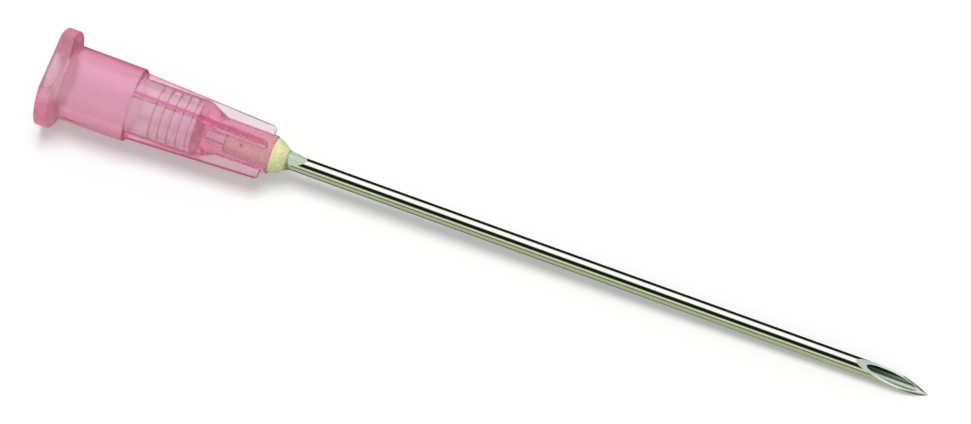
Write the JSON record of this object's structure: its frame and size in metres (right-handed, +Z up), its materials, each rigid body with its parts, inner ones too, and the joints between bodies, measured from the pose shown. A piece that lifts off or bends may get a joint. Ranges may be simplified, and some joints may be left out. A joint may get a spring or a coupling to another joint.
{
  "type": "hypodermic needle",
  "caption": "Disposable hypodermic needle: bevelled stainless steel tube bonded into a see-through pink, finned, lugged hub with a tapered socket for a locking syringe.",
  "frame": {"origin": "centre of the tapered socket's mouth, in the plane of the hub's rear face", "axes": "+X along the needle from hub to point, which dips 2.04 degrees as it lies; +Y towards one lug; +Z up, square to the surface that it lies on"},
  "size_m": [0.0706, 0.0078, 0.0063],
  "materials": {
    "hub_plastic": "see-through pink polypropylene, satin gloss",
    "tube_steel": "bright polished stainless steel",
    "bond_adhesive": "clear pale yellow cured adhesive, glossy"
  },
  "bodies": {
    "root": {"hub": "hub_plastic", "cannula": "tube_steel", "adhesive": "bond_adhesive"}
  },
  "joints": []
}
